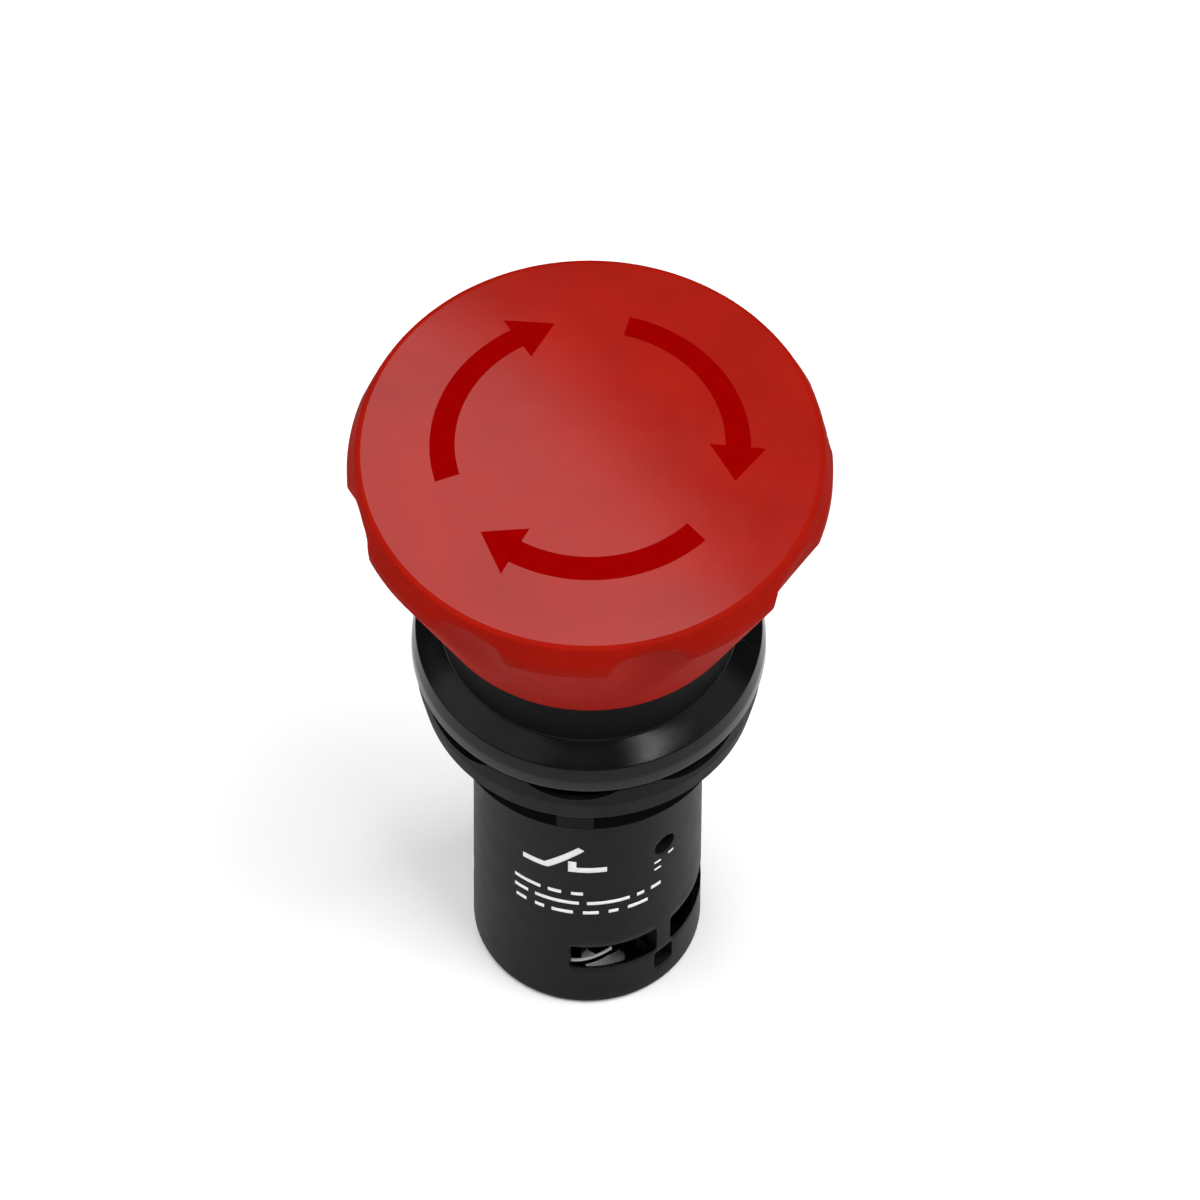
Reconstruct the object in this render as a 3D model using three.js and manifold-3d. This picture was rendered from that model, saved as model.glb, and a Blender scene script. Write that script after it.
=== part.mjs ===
// Compact twist-release emergency stop button for a 22 mm panel hole.
// Millimetres, +Z up, origin at the centre of the rear face, front of the body facing -Y.
import * as THREE from 'three';
import { mergeVertices } from 'three/addons/utils/BufferGeometryUtils.js';
import Module from 'manifold-3d';

const wasm = await Module();
wasm.setup();

// ---------------------------------------------------------------- driving dimensions
const HEAD_RADIUS = 20; // widest rim of the mushroom head
const RIM_Z = 67.3; // top of that rim
const RIM_LOW_Z = 66.2; // bottom of it, where the skirt begins
const DOME_RISE = 4.15; // crown above the rim
const DOME_RADIUS = 85; // sphere that the crown is part of
const SKIRT_RADIUS = 13.85; // lower edge of the head's skirt
const SKIRT_Z = 51.9;
const STROKE = 4.5; // press travel

const NECK_RADIUS = 12.4;
const NECK_BASE_Z = 45.15;
const NECK_TOP_Z = 53.3;
const BEZEL_RADIUS = 14.77;
const BEZEL_Z = 41; // underside of the bezel, where the panel goes
const SPIGOT_RADIUS = 11; // centres the barrel in the panel hole
const BORE_RADIUS = 8.3; // inside of the barrel and of the body

const THREAD_PITCH = 2;
const THREAD_ROOT = 9.55;
const THREAD_CREST = 10.3;
const THREAD_END_Z = 30.9;
const THREAD_FREE = 0.2; // play between the nut's thread and the barrel's

const NUT_TOP_Z = 40.7;
const NUT_SKIRT_Z = 34.9;
const NUT_COLLAR_RADIUS = 11.7;
const NUT_COLLAR_Z = 30.4;

const BODY_RADIUS = 9.6;
const BODY_TOP_Z = 30.4;
const BODY_AZIMUTH = -47.5; // degrees from +X to the plane midway between a pair of wire windows
const FLOOR_Z = 10; // floor of the contact chamber
const WINDOW_Z = [5.6, 8.9];

const TERMINAL_X = 4.9; // terminal screws, in the body's own frame
const TERMINAL_Y = 2.6;
const STRIP_THICKNESS = 0.6;
const CONTACT_X = 4.5;
const CARRIER_Z = 14.7; // underside of the plunger when the head is up

const FIT = 0.15; // sliding and snap fits
const SEAT = 0.05; // pieces that rest on each other
const ROUND = 32; // segments round the large diameters, and in one turn of thread
const SMALL_ROUND = 16;

const radians = THREE.MathUtils.degToRad;
const TAU = Math.PI * 2;

// ---------------------------------------------------------------- colours and finishes
const finish = (color, roughness, metalness = 0) => ({ color, roughness, metalness });
const RED = finish(0xb5241a, 0.38);
const BLACK = finish(0x1c1d1e, 0.45);
const GREY = finish(0x55585a, 0.5);
const IVORY = finish(0xd9d3c2, 0.5);
const RUBBER = finish(0x121313, 0.85);
const STEEL = finish(0xb8babd, 0.3, 1);
const SPRING_STEEL = finish(0x8d9094, 0.28, 1);
const BRASS = finish(0xc9a45a, 0.3, 1);
const SILVER = finish(0xdcdde0, 0.22, 1);

// ---------------------------------------------------------------- solids
// Turns a closed geometry into a manifold solid, with its faces pointing out.
function solid(geometry) {
  const bare = geometry.clone();
  bare.deleteAttribute('normal');
  bare.deleteAttribute('uv');
  const merged = mergeVertices(bare, 1e-4);
  const index = merged.index.array;
  const corners = [];
  for (let i = 0; i < index.length; i += 3) {
    const [a, b, c] = index.subarray(i, i + 3);
    if (a !== b && b !== c && c !== a) corners.push(a, b, c);
  }
  const vertProperties = new Float32Array(merged.attributes.position.array);
  const make = (triVerts) => {
    const mesh = new wasm.Mesh({ numProp: 3, vertProperties, triVerts });
    return new wasm.Manifold(mesh);
  };
  const made = make(new Uint32Array(corners));
  return made.volume() > 0 ? made : make(new Uint32Array(corners.reverse()));
}

function geometryOf(manifold) {
  const mesh = manifold.getMesh();
  const geometry = new THREE.BufferGeometry();
  geometry.setAttribute('position', new THREE.BufferAttribute(mesh.vertProperties, 3));
  geometry.setIndex(new THREE.BufferAttribute(mesh.triVerts, 1));
  geometry.computeVertexNormals();
  return geometry;
}

// Revolves a path of (radius, height) about Z.
function revolve(path, segments = ROUND, curveSteps = 3) {
  return solid(new THREE.LatheGeometry(path.getPoints(curveSteps), segments).rotateX(Math.PI / 2));
}

const startAt = (radius, z) => new THREE.Path().moveTo(radius, z);

function tube(inner, outer, z0, z1, segments = ROUND) {
  const path = startAt(inner, z0).lineTo(outer, z0).lineTo(outer, z1).lineTo(inner, z1);
  return revolve(path.lineTo(inner, z0), segments);
}

function disc(radius, z0, z1, segments = SMALL_ROUND) {
  return revolve(startAt(0, z0).lineTo(radius, z0).lineTo(radius, z1).lineTo(0, z1), segments);
}

function block([x0, x1], [y0, y1], [z0, z1]) {
  const box = new THREE.BoxGeometry(x1 - x0, y1 - y0, z1 - z0);
  return solid(box.translate((x0 + x1) / 2, (y0 + y1) / 2, (z0 + z1) / 2));
}

// Extrudes a flat outline upwards from z0 to z1.
function extrude(shape, z0, z1, curveSegments = 8) {
  const options = { depth: z1 - z0, bevelEnabled: false, curveSegments };
  return solid(new THREE.ExtrudeGeometry(shape, options).translate(0, 0, z0));
}

// A sector of a ring, between two angles in degrees.
function sector(inner, outer, from, to) {
  const shape = new THREE.Shape();
  shape.absarc(0, 0, outer, radians(from), radians(to), false);
  shape.absarc(0, 0, inner, radians(to), radians(from), true);
  return shape;
}

const turned = (manifold, degrees) => manifold.rotate([0, 0, degrees]);
const unite = (pieces) => pieces.reduce((all, piece) => all.add(piece));
const cutAll = (base, cutters) => cutters.reduce((left, cutter) => left.subtract(cutter), base);

function around(count, first, make) {
  return Array.from({ length: count }, (_, k) => make(first + (k * 360) / count));
}

// Round wire along a curve.
function wire(curve, radius, steps, sides = 6) {
  const section = new THREE.Shape().absarc(0, 0, radius, 0, TAU, false);
  const options = { extrudePath: curve, steps, bevelEnabled: false, curveSegments: sides / 2 };
  return solid(new THREE.ExtrudeGeometry(section, options));
}

class CoilCurve extends THREE.Curve {
  constructor(radius, z0, z1, turns) {
    super();
    Object.assign(this, { radius, z0, z1, turns });
  }

  getPoint(t, target = new THREE.Vector3()) {
    const angle = t * this.turns * TAU;
    const z = THREE.MathUtils.lerp(this.z0, this.z1, t);
    return target.set(this.radius * Math.cos(angle), this.radius * Math.sin(angle), z);
  }
}

// A coil spring that fills z0 to z1 with its wire.
function coilSpring(radius, wireRadius, z0, z1, turns, stepsPerTurn = 12) {
  const curve = new CoilCurve(radius, z0 + wireRadius, z1 - wireRadius, turns);
  return wire(curve, wireRadius, Math.round(turns * stepsPerTurn));
}

// A right-hand ridge of the given [radius, height] section, wound about Z from z0.
function helicalRidge(section, z0, turns) {
  const steps = Math.round(turns * ROUND);
  const size = section.length;
  const positions = [];
  for (let step = 0; step <= steps; step++) {
    const angle = (step / ROUND) * TAU;
    for (const [radius, height] of section) {
      const z = z0 + height + (THREAD_PITCH * step) / ROUND;
      positions.push(radius * Math.cos(angle), radius * Math.sin(angle), z);
    }
  }
  const index = [];
  for (let step = 0; step < steps; step++) {
    for (let k = 0; k < size; k++) {
      const near = step * size + k;
      const next = step * size + ((k + 1) % size);
      index.push(near, next, near + size, next, next + size, near + size);
    }
  }
  const last = steps * size;
  for (let k = 1; k < size - 1; k++) {
    index.push(0, k + 1, k, last, last + k, last + k + 1);
  }
  const geometry = new THREE.BufferGeometry();
  geometry.setAttribute('position', new THREE.Float32BufferAttribute(positions, 3));
  geometry.setIndex(index);
  return solid(geometry);
}

// Thread ridge with flat crest. A positive play makes the wider groove of the mating thread.
function threadRidge(z0, z1, play = 0) {
  const crest = 0.22 + play;
  const root = 0.55 + play;
  const inside = THREAD_ROOT - 0.4;
  const tip = THREAD_CREST + play;
  const section = [[inside, -root], [inside, root], [THREAD_ROOT, root]];
  section.push([tip, crest], [tip, -crest], [THREAD_ROOT, -root]);
  return helicalRidge(section, z0, (z1 - z0) / THREAD_PITCH);
}

// ---------------------------------------------------------------- mushroom head
const SKIRT_BORE = 12.75;
const SCALLOP_COUNT = 8;
const SCALLOP_AZIMUTH = 14.8;
const SCALLOP_RADIUS = 5.7;
const SCALLOP_DEPTH = 1;
const SCALLOP_LEAN = 14; // degrees outwards, going up
const ARROW_DEPTH = 0.25;
const ARROW_BAND = [11.12, 13.2];
const ARROW_BARBS = [9.8, 14.45];
const ARROW_TIP_RADIUS = 12.4;
const BOSS_RADIUS = 6.2;
const BOSS_Z = 55.5;
const SOCKET_SIDE = 6;
const SOCKET_TOP_Z = 64.6;
const SCREW_RADIUS = 1.4;

const domeCentreZ = RIM_Z + DOME_RISE - DOME_RADIUS;
const domeZ = (radius) => domeCentreZ + Math.sqrt(DOME_RADIUS ** 2 - radius ** 2);

function headBlank() {
  const edge = 18.9; // where the crown turns over into the rim
  const angle = Math.PI / 2 - Math.asin(edge / DOME_RADIUS);
  const path = startAt(0, SKIRT_Z).lineTo(SKIRT_RADIUS - 0.3, SKIRT_Z).lineTo(SKIRT_RADIUS, SKIRT_Z + 0.3);
  path.lineTo(HEAD_RADIUS - 0.15, RIM_LOW_Z - 0.3).lineTo(HEAD_RADIUS, RIM_LOW_Z).lineTo(HEAD_RADIUS, RIM_Z);
  path.lineTo(HEAD_RADIUS - 0.55, domeZ(edge) - 0.5);
  path.quadraticCurveTo(HEAD_RADIUS - 0.7, domeZ(HEAD_RADIUS - 0.7), edge, domeZ(edge));
  path.absarc(0, domeCentreZ, DOME_RADIUS, angle, Math.PI / 2, false);
  return revolve(path, 48);
}

function headCavity() {
  const path = startAt(0, SKIRT_Z - 1).lineTo(SKIRT_BORE, SKIRT_Z - 1).lineTo(SKIRT_BORE, 58.4);
  path.lineTo(14.2, 62.4).lineTo(14.2, 66.4).lineTo(0, 67.6);
  return revolve(path);
}

// A finger scallop runs down the skirt, deepest at the rim, and stops short of the crown's edge.
function scallop(azimuth) {
  const cutter = disc(SCALLOP_RADIUS, -14, 1.15, 20).rotate([0, SCALLOP_LEAN, 0]);
  const reach = HEAD_RADIUS - SCALLOP_DEPTH + SCALLOP_RADIUS;
  return turned(cutter.translate([reach, 0, RIM_Z]), azimuth);
}

// One release arrow, pointing clockwise seen from above, with its barbs at the given azimuth.
function arrowOutline(azimuth) {
  const at = (radius, degrees) => {
    const angle = radians(azimuth + degrees);
    return [radius * Math.cos(angle), radius * Math.sin(angle)];
  };
  const [inner, outer] = ARROW_BAND;
  const shape = new THREE.Shape().moveTo(...at(ARROW_TIP_RADIUS, -16)).lineTo(...at(ARROW_BARBS[1], 0));
  shape.absarc(0, 0, outer, radians(azimuth + 0.5), radians(azimuth + 76), false);
  shape.absarc(0, 0, inner, radians(azimuth + 76), radians(azimuth + 0.5), true);
  return shape.lineTo(...at(ARROW_BARBS[0], 0));
}

// The recesses follow the crown at an even depth.
function arrowRecesses() {
  const underCrown = headBlank().translate([0, 0, -ARROW_DEPTH]);
  const prisms = around(3, 0, (azimuth) => extrude(arrowOutline(azimuth), RIM_Z, RIM_Z + 6, 5));
  return unite(prisms).subtract(underCrown);
}

function squareBar(side, z0, z1) {
  return block([-side / 2, side / 2], [-side / 2, side / 2], [z0, z1]);
}

function mushroomHead() {
  const boss = disc(BOSS_RADIUS, BOSS_Z, 68, 24);
  const shell = headBlank().subtract(headCavity());
  const ribs = around(3, 30, (azimuth) => turned(block([5, 15], [-0.6, 0.6], [63.5, 68]), azimuth));
  const scallops = around(SCALLOP_COUNT, SCALLOP_AZIMUTH, scallop);
  const socket = squareBar(SOCKET_SIDE, BOSS_Z - 1, SOCKET_TOP_Z);
  const screwHole = disc(SCREW_RADIUS + 0.1, SOCKET_TOP_Z - 1, 68.6, 12);
  return cutAll(unite([shell, boss, ...ribs]), [...scallops, arrowRecesses(), socket, screwHole]);
}

// ---------------------------------------------------------------- stem and its screw
const STEM_Z = 31.4;
const STEM_RADIUS = 4;
const STEM_BORE = 3;
const LATCH_Z = 34.3;
const LATCH_WIRE = 0.45;
const CONE_RADIUS = 5.2;
const CONE_TOP_Z = LATCH_Z - LATCH_WIRE - 0.1 + STROKE;
const CAM_TOP_Z = CONE_TOP_Z + 1.95;
const LEDGE_Z = 52;

// Round bar below, latch cone, release cams, spring flange, and a square end in the head.
function actuatorStem() {
  const outline = startAt(0, STEM_Z).lineTo(STEM_RADIUS, STEM_Z).lineTo(STEM_RADIUS, CONE_TOP_Z - 2);
  outline.lineTo(CONE_RADIUS, CONE_TOP_Z).lineTo(STEM_RADIUS, CONE_TOP_Z).lineTo(STEM_RADIUS, CAM_TOP_Z);
  outline.lineTo(7.2, CAM_TOP_Z).lineTo(7.2, CAM_TOP_Z + 0.8).lineTo(4.1, CAM_TOP_Z + 0.8);
  outline.lineTo(4.1, BOSS_Z - 0.4).lineTo(0, BOSS_Z - 0.4);
  const bar = revolve(outline, 32);
  const cam = block([2, 5.1], [-1, 1], [CONE_TOP_Z - 0.5, CAM_TOP_Z + 0.2]);
  const cams = around(2, 135, (azimuth) => turned(cam, azimuth));
  const squareEnd = squareBar(SOCKET_SIDE - 0.3, BOSS_Z - 1, SOCKET_TOP_Z - 0.3);
  const bore = disc(STEM_BORE, STEM_Z - 1, LEDGE_Z, 24);
  const screwHole = disc(SCREW_RADIUS + 0.2, LEDGE_Z - 1, SOCKET_TOP_Z, 12);
  return cutAll(unite([bar, ...cams, squareEnd]), [bore, screwHole]);
}

function headScrew() {
  const path = startAt(0, LEDGE_Z - 2).lineTo(2.4, LEDGE_Z - 2);
  path.quadraticCurveTo(2.7, LEDGE_Z - 1, 2.6, LEDGE_Z - SEAT);
  path.lineTo(SCREW_RADIUS, LEDGE_Z - SEAT).lineTo(SCREW_RADIUS, 67.4).lineTo(0, 68.2);
  const slot = block([-1.6, 1.6], [-0.3, 0.3], [LEDGE_Z - 3, LEDGE_Z - 1.1]);
  return cutAll(revolve(path, SMALL_ROUND), [slot, turned(slot, 90)]);
}

// ---------------------------------------------------------------- barrel with neck and bezel
const WEB_Z = [46, 47.5];
const CUP_RADIUS = 10.9;
const GASKET_OUTER = 13.9;
const GASKET_CEILING = 41.9;
const SPIGOT_Z = 40.1;
const SNAP_Z = 32.2;

function keyGroove(azimuth) {
  return turned(block([THREAD_ROOT, 12], [-1.2, 1.2], [THREAD_END_Z - 1, GASKET_CEILING]), azimuth);
}

function barrel() {
  const path = startAt(BORE_RADIUS, THREAD_END_Z).lineTo(THREAD_ROOT, THREAD_END_Z);
  path.lineTo(THREAD_ROOT, SPIGOT_Z);
  path.lineTo(SPIGOT_RADIUS, SPIGOT_Z).lineTo(SPIGOT_RADIUS, GASKET_CEILING);
  path.lineTo(GASKET_OUTER, GASKET_CEILING).lineTo(GASKET_OUTER, BEZEL_Z).lineTo(BEZEL_RADIUS, BEZEL_Z);
  path.quadraticCurveTo(BEZEL_RADIUS - 0.02, 42.4, 14.44, 43.7).lineTo(NECK_RADIUS, NECK_BASE_Z);
  path.lineTo(NECK_RADIUS, NECK_TOP_Z - 0.4).lineTo(NECK_RADIUS - 0.4, NECK_TOP_Z);
  path.lineTo(CUP_RADIUS, NECK_TOP_Z);
  path.lineTo(CUP_RADIUS, WEB_Z[1]).lineTo(4.3, WEB_Z[1]).lineTo(4.3, WEB_Z[0]);
  path.lineTo(BORE_RADIUS, WEB_Z[0]);
  path.lineTo(BORE_RADIUS, SNAP_Z + 0.6).lineTo(BORE_RADIUS + 0.3, SNAP_Z).lineTo(BORE_RADIUS, SNAP_Z - 0.6);
  path.lineTo(BORE_RADIUS, THREAD_END_Z);
  const thread = threadRidge(THREAD_END_Z - THREAD_PITCH, SPIGOT_Z - 0.6);
  const threadSpan = tube(THREAD_ROOT - 0.2, THREAD_CREST + 1, THREAD_END_Z, SPIGOT_Z);
  return cutAll(revolve(path).add(thread.intersect(threadSpan)), around(2, BODY_AZIMUTH, keyGroove));
}

// ---------------------------------------------------------------- seal, gasket, washer, nut
function stemSeal() {
  const z = WEB_Z[1] + SEAT;
  const path = startAt(4.25, z + 1.6).lineTo(5.2, z).lineTo(10.6, z).lineTo(10.6, z + 1.6);
  path.lineTo(9.4, z + 1.6);
  path.lineTo(9.4, z + 0.8).lineTo(5.6, z + 0.8).lineTo(4.6, z + 2.2).lineTo(4.25, z + 1.6);
  return revolve(path, 24);
}

function panelGasket() {
  return tube(SPIGOT_RADIUS + FIT, GASKET_OUTER - FIT, BEZEL_Z, GASKET_CEILING - 0.1);
}

const WASHER_RADIUS = 12.2;
const WASHER_Z = [40.05, 40.6];

// Flat ring with two teeth that slide in the barrel's key grooves.
function clampWasher() {
  const tooth = block([THREAD_ROOT + 0.2, SPIGOT_RADIUS + 0.5], [-1, 1], WASHER_Z);
  const teeth = around(2, BODY_AZIMUTH, (azimuth) => turned(tooth, azimuth));
  return unite([tube(SPIGOT_RADIUS + 0.2, WASHER_RADIUS, ...WASHER_Z), ...teeth]);
}

const NOTCH_COUNT = 8;
const NOTCH_AZIMUTH = -95;
const NOTCH_RADIUS = 6;
const NOTCH_LOW_Z = 39.2;
const LUG_RADIUS = 12.4;
const LUG_Z = 31.7;
const LUG_FROM = -102; // degrees
const LUG_TO = -87.5;

// A lens-shaped grip notch through the nut's outer wall.
function gripNotch(azimuth) {
  const cutter = disc(NOTCH_RADIUS, 13.3, 17, ROUND).rotate([0, 90, 0]);
  return turned(cutter.translate([0, 0, NOTCH_LOW_Z + NOTCH_RADIUS]), azimuth);
}

// The nut's outer wall stands off its threaded sleeve by a moulded groove, open at the top. Under it
// is a plain collar with one lug.
function lockNut() {
  const crest = THREAD_ROOT + THREAD_FREE;
  const seat = WASHER_RADIUS + 0.2;
  const path = startAt(crest, NUT_COLLAR_Z).lineTo(NUT_COLLAR_RADIUS, NUT_COLLAR_Z);
  path.lineTo(NUT_COLLAR_RADIUS, NUT_SKIRT_Z).lineTo(13.4, NUT_SKIRT_Z).lineTo(13.9, 35.7);
  path.quadraticCurveTo(14.45, 37.9, 14.6, 40).lineTo(14.6, NUT_TOP_Z).lineTo(14.15, NUT_TOP_Z);
  path.lineTo(13.8, 37.4).lineTo(12.9, 37.4).lineTo(12.9, NUT_TOP_Z).lineTo(seat, NUT_TOP_Z);
  path.lineTo(seat, 39.95).lineTo(10.6, 39.95).lineTo(crest, 39.2).lineTo(crest, NUT_COLLAR_Z);
  const lugShape = sector(NUT_COLLAR_RADIUS - 0.3, LUG_RADIUS, LUG_FROM, LUG_TO);
  const lug = extrude(lugShape, LUG_Z, NUT_SKIRT_Z + 0.3);
  const groove = threadRidge(THREAD_END_Z - 4 * THREAD_PITCH, NUT_TOP_Z + THREAD_PITCH, THREAD_FREE);
  return cutAll(revolve(path).add(lug), [groove, ...around(NOTCH_COUNT, NOTCH_AZIMUTH, gripNotch)]);
}

// ---------------------------------------------------------------- springs of the head
const twistSpring = () => coilSpring(6.3, 0.35, CAM_TOP_Z + 0.95, WEB_Z[0] - 0.1, 4);

// Hairpin round the stem: two legs joined by a half turn.
function latchSpring() {
  const reach = STEM_RADIUS + LATCH_WIRE + FIT;
  const at = (x, y) => new THREE.Vector3(x, y, LATCH_Z);
  const halfTurn = Array.from({ length: 9 }, (_, k) => {
    const angle = Math.PI / 2 + (k * Math.PI) / 8;
    return at(reach * Math.cos(angle), reach * Math.sin(angle));
  });
  const route = [at(5.5, reach), at(2.5, reach), ...halfTurn, at(2.5, -reach), at(5.5, -reach)];
  return wire(new THREE.CatmullRomCurve3(route), LATCH_WIRE, 20);
}

// ---------------------------------------------------------------- body
// Everything from here on is drawn in the body's own frame, with its snap slots on the X axis.
const SNAP_SLOT_Z = [2.7, 5.1];
const PIN_HOLE_Z = 21.2;
const WINDOW_FROM = 4.5; // degrees either side of the X axis
const WINDOW_TO = 51.5;
const TERMINALS = [[1, -1], [1, 1], [-1, 1], [-1, -1]]; // sides of the X and Y axes
const span = (side, near, far) => (side > 0 ? [near, far] : [-far, -near]);

function windowCutter(from) {
  const opening = sector(BORE_RADIUS - 0.8, BODY_RADIUS + 1, from, from + WINDOW_TO - WINDOW_FROM);
  return extrude(opening, ...WINDOW_Z);
}

function bodyShell() {
  const spigot = BORE_RADIUS - FIT;
  const path = startAt(BORE_RADIUS, 0).lineTo(BODY_RADIUS - 0.8, 0);
  path.quadraticCurveTo(BODY_RADIUS, 0, BODY_RADIUS, 0.8);
  path.lineTo(BODY_RADIUS, BODY_TOP_Z).lineTo(spigot, BODY_TOP_Z).lineTo(spigot, SNAP_Z - 0.6);
  path.lineTo(spigot + 0.25, SNAP_Z).lineTo(spigot, SNAP_Z + 0.6).lineTo(spigot, 33.4);
  path.lineTo(7.5, 33.4).lineTo(7.5, 29.6).lineTo(BORE_RADIUS, 28.8).lineTo(BORE_RADIUS, 0);
  return revolve(path);
}

function rearHousing() {
  const floor = disc(BORE_RADIUS + 0.3, FLOOR_Z - 0.7, FLOOR_Z, ROUND);
  const centreRib = block([-6.6, 6.6], [-0.4, 0.4], [1.7, FLOOR_Z - 0.5]);
  const crossWall = block([-1.2, 1.2], [-8.4, 8.4], [1.7, FLOOR_Z - 0.5]);
  const slot = ([sx, sy]) => block(span(sx, 2.7, 7.2), span(sy, 1.4, 3.8), [FLOOR_Z - 2, FLOOR_Z + 1]);
  const inside = cutAll(unite([floor, centreRib, crossWall]), TERMINALS.map(slot));
  const windows = [-WINDOW_TO, WINDOW_FROM, 180 - WINDOW_TO, 180 + WINDOW_FROM].map(windowCutter);
  const snapSlot = block([BORE_RADIUS - 1, 11], [-1, 1], SNAP_SLOT_Z);
  const pinHole = disc(1.1, 7.5, 11, 16).rotate([0, 90, 0]).translate([0, 0, PIN_HOLE_Z]);
  const pairs = [0, 180].flatMap((half) => [turned(snapSlot, half), turned(pinHole, half)]);
  return cutAll(bodyShell().add(inside), [...windows, ...pairs]);
}

function rearCover() {
  const plate = disc(BORE_RADIUS - FIT, 0, 1.4, ROUND);
  const hook = block([7, 8], [-0.8, 0.8], [1, 4.9]).add(block([7.8, 8.9], [-0.8, 0.8], [3.3, 4.6]));
  const driverHole = ([sx, sy]) => disc(1.9, -1, 3).translate([sx * TERMINAL_X, sy * TERMINAL_Y, 0]);
  return cutAll(unite([plate, hook, turned(hook, 180)]), TERMINALS.map(driverHole));
}

// ---------------------------------------------------------------- plunger and contacts
const GUIDE_Z = [20.4, 21.8];
const CARRIER_FLANGE_Z = 30;
const BRIDGE_Y = 2.55;
const BRIDGE_Z = [17.7, 18.1];
const MOVING_TIP_Z = [BRIDGE_Z[1] + SEAT, 18.55];
const STRIP_TOP_Z = 19.1;
const FIXED_TIP_Z = [18.65, STRIP_TOP_Z - SEAT];

function guidePlate() {
  const plate = disc(BORE_RADIUS - FIT, ...GUIDE_Z, 32);
  const peg = disc(0.6, 7.5, 8.9, 12).rotate([0, 90, 0]).translate([0, 0, PIN_HOLE_Z]);
  const guide = block([-2.25, 2.25], [-4.45, 4.45], [GUIDE_Z[0] - 1, GUIDE_Z[1] + 1]);
  return unite([plate, peg, turned(peg, 180)]).subtract(guide);
}

function contactCarrier() {
  const column = block([-2, 2], [-4.2, 4.2], [CARRIER_Z, CARRIER_FLANGE_Z + 0.5]);
  const flange = disc(7.2, CARRIER_FLANGE_Z, CARRIER_FLANGE_Z + 1.2, 32);
  const spigot = disc(STEM_BORE - 0.2, CARRIER_FLANGE_Z + 1, 32.8, 16);
  const bridgeWindow = (side) => block([-3, 3], span(side, 1.4, 3.7), [CARRIER_Z + 0.8, 18.9]);
  return cutAll(unite([column, flange, spigot]), [1, -1].map(bridgeWindow));
}

const returnSpring = () => coilSpring(5.9, 0.4, GUIDE_Z[1] + SEAT, CARRIER_FLANGE_Z - SEAT, 4);
const contactBridge = (side) => block([-5.3, 5.3], span(side, BRIDGE_Y - 1, BRIDGE_Y + 1), BRIDGE_Z);

function contactSpring(side) {
  const coil = coilSpring(0.75, 0.18, CARRIER_Z + 0.85, BRIDGE_Z[0] - SEAT, 3, 8);
  return coil.translate([0, side * BRIDGE_Y, 0]);
}

const contactTip = ([sx, sy], z) => disc(0.8, ...z, 12).translate([sx * CONTACT_X, sy * BRIDGE_Y, 0]);

// C-shaped strip: terminal arm below, fixed contact arm above, both pointing inwards.
function terminalStrip([sx, sy]) {
  const width = span(sy, BRIDGE_Y - 1, BRIDGE_Y + 1);
  const armZ = [8.5, 8.5 + STRIP_THICKNESS];
  const leg = block(span(sx, 7 - STRIP_THICKNESS, 7), width, [armZ[0], STRIP_TOP_Z + STRIP_THICKNESS]);
  const terminalArm = block(span(sx, 2.9, 6.8), width, armZ);
  const contactArm = block(span(sx, 3.6, 6.8), width, [STRIP_TOP_Z, STRIP_TOP_Z + STRIP_THICKNESS]);
  const screwHole = disc(0.85, 7, 10, 12).translate([sx * TERMINAL_X, sy * TERMINAL_Y, 0]);
  return unite([leg, terminalArm, contactArm]).subtract(screwHole);
}

// Saddle plate between the screw's head and the wire, with its outer edge turned up.
function terminalClamp([sx, sy]) {
  const width = span(sy, TERMINAL_Y - 1.15, TERMINAL_Y + 1.15);
  const plate = block(span(sx, 2.6, 7), width, [5, 5.5]);
  const lip = block(span(sx, 6.5, 7), width, [5.2, 6.4]);
  const screwHole = disc(0.85, 4, 7, 12).translate([sx * TERMINAL_X, sy * TERMINAL_Y, 0]);
  return unite([plate, lip]).subtract(screwHole);
}

// Pan head with a cross slot, reached through the rear cover.
function terminalScrew([sx, sy]) {
  const path = startAt(0, 3).lineTo(1.3, 3).quadraticCurveTo(1.75, 3.2, 1.75, 3.9).lineTo(1.75, 5 - SEAT);
  path.lineTo(0.7, 5 - SEAT).lineTo(0.7, 9.25).lineTo(0, 9.25);
  const slots = [block([-1.1, 1.1], [-0.22, 0.22], [2, 3.8]), block([-0.22, 0.22], [-1.1, 1.1], [2, 3.8])];
  return cutAll(revolve(path, SMALL_ROUND), slots).translate([sx * TERMINAL_X, sy * TERMINAL_Y, 0]);
}

// ---------------------------------------------------------------- assembly
function named(name, manifold, { color, roughness, metalness }) {
  const material = new THREE.MeshStandardMaterial({ color, roughness, metalness });
  const mesh = new THREE.Mesh(geometryOf(manifold), material);
  mesh.name = name;
  return mesh;
}

const emergencyStop = new THREE.Group();
emergencyStop.add(
  named('mushroom_head', mushroomHead(), RED),
  named('actuator_stem', actuatorStem(), GREY),
  named('head_screw', headScrew(), STEEL),
  named('barrel', barrel(), BLACK),
  named('stem_seal', stemSeal(), RUBBER),
  named('twist_spring', twistSpring(), SPRING_STEEL),
  named('panel_gasket', panelGasket(), RUBBER),
  named('clamp_washer', clampWasher(), STEEL),
  named('lock_nut', lockNut(), BLACK),
);

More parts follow.
